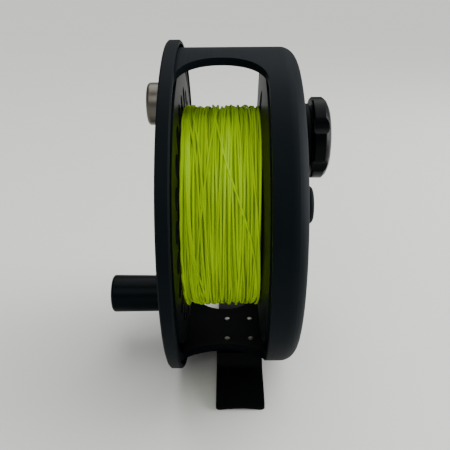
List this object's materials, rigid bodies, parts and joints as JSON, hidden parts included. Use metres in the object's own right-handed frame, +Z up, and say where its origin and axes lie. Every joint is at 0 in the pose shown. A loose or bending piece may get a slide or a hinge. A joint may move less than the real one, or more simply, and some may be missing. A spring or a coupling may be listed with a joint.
{
  "type": "fly reel",
  "caption": "Fly reel with a windowed frame, ported spool wound with bright line, offset drag knob, handle, counterweight and saddle foot.",
  "frame": {"origin": "on the floor under the middle of the reel, which stands on its foot", "axes": "+X along the spool's axis from the handle side to the drag knob, +Y along the foot, +Z up from the foot"},
  "size_m": [0.0672, 0.097, 0.1001],
  "materials": {
    "frame": "satin black anodised",
    "spool": "satin black anodised",
    "foot": "satin black anodised",
    "knob": "gloss black anodised",
    "cap": "satin black anodised",
    "grip": "turned black acetal",
    "weight": "turned stainless steel",
    "steel": "stainless steel",
    "bearing": "ground bearing steel",
    "drag": "clear anodised",
    "cork": "pressed cork",
    "line": "chartreuse coated line"
  },
  "bodies": {
    "frame": {"frame": "frame", "reel_foot": "foot", "foot_screw_1": "steel", "foot_screw_2": "steel", "foot_screw_3": "steel", "foot_screw_4": "steel", "spindle": "steel", "spindle_nut": "steel", "rear_cap": "cap", "spool_retaining_screw": "steel", "yoke_pin": "steel"},
    "spool": {"spool": "spool", "front_bearing": "bearing", "rear_bearing": "bearing", "line_core": "line", "line_winding": "line", "counterweight": "weight", "counterweight_screw": "steel", "handle_post": "steel"},
    "handle": {"handle_grip": "grip"},
    "drag_knob": {"drag_knob": "knob", "drag_stem": "steel", "knob_screw": "steel"},
    "drag_yoke": {"drag_yoke": "drag"},
    "drag_disc": {"drag_disc": "drag", "cork_ring": "cork", "roller_clutch": "bearing"}
  },
  "joints": [
    {"name": "spool_spin", "type": "hinge", "parent": "frame", "child": "spool", "pos_m": [0, 0, 0.0516], "axis": [1, 0, 0], "continuous": true},
    {"name": "handle_spin", "type": "hinge", "parent": "spool", "child": "handle", "pos_m": [0, 0.004, 0.019], "axis": [1, 0, 0], "continuous": true},
    {"name": "drag_knob_turn", "type": "hinge", "parent": "frame", "child": "drag_knob", "pos_m": [0, 0, 0.0725], "axis": [-1, 0, 0], "range_deg": [0, 330]},
    {"name": "drag_yoke_press", "type": "slide", "parent": "frame", "child": "drag_yoke", "axis": [-1, 0, 0], "range_m": [0, 0.00046]},
    {"name": "drag_disc_slip", "type": "hinge", "parent": "frame", "child": "drag_disc", "pos_m": [0, 0, 0.0516], "axis": [1, 0, 0], "continuous": true}
  ],
  "couplings": [
    {"joint": "drag_yoke_press", "follows": "drag_knob_turn", "m_per_rad": 0.0000798}
  ]
}
